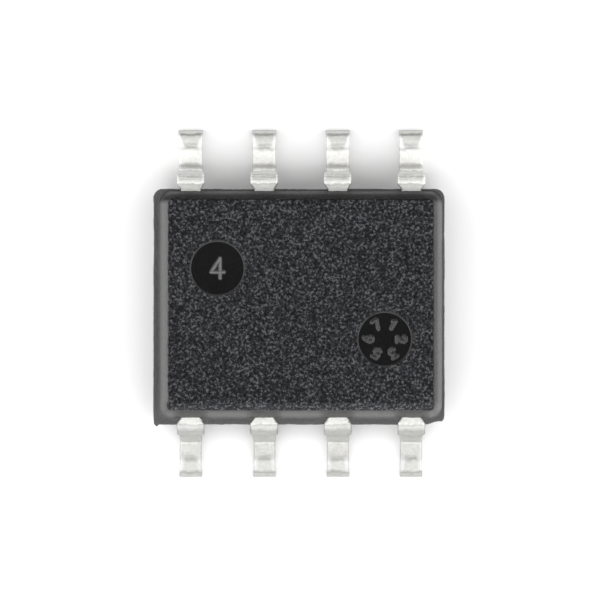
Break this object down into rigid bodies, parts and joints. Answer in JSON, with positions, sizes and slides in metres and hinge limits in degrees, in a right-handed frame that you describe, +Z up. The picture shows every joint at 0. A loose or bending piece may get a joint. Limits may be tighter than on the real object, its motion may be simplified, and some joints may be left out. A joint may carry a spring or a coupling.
{
  "type": "surface-mount controller chip",
  "caption": "Small-outline surface-mount controller chip: black moulded body with two rows of gull-wing leads for soldering onto a circuit board.",
  "frame": {"origin": "centre of the lead pattern on the seating plane, under the soles of the feet", "axes": "+X along the lead rows from lead 1 to lead 4, +Y across the rows from leads 1-4 towards leads 5-8, +Z up from the board through the top of the moulding"},
  "size_m": [0.0051, 0.006, 0.0016],
  "materials": {
    "moulding_compound": "fine sandblasted grain, smooth in the two round marks",
    "plated_leadframe": "satin tin plating over copper",
    "plated_pad": "satin plating over copper",
    "silicon": "polished",
    "silver_epoxy": "cured, silver filled",
    "bond_wire": "drawn gold"
  },
  "bodies": {
    "root": {"mould_body": "moulding_compound", "lead_1": "plated_leadframe", "lead_2": "plated_leadframe", "lead_3": "plated_leadframe", "lead_4": "plated_leadframe", "lead_5": "plated_leadframe", "lead_6": "plated_leadframe", "lead_7": "plated_leadframe", "lead_8": "plated_leadframe", "die_pad": "plated_pad", "die": "silicon", "die_attach": "silver_epoxy", "bond_wire_1": "bond_wire", "bond_wire_2": "bond_wire", "bond_wire_3": "bond_wire", "bond_wire_4": "bond_wire", "bond_wire_5": "bond_wire", "bond_wire_6": "bond_wire", "bond_wire_7": "bond_wire", "bond_wire_8": "bond_wire"}
  },
  "joints": []
}
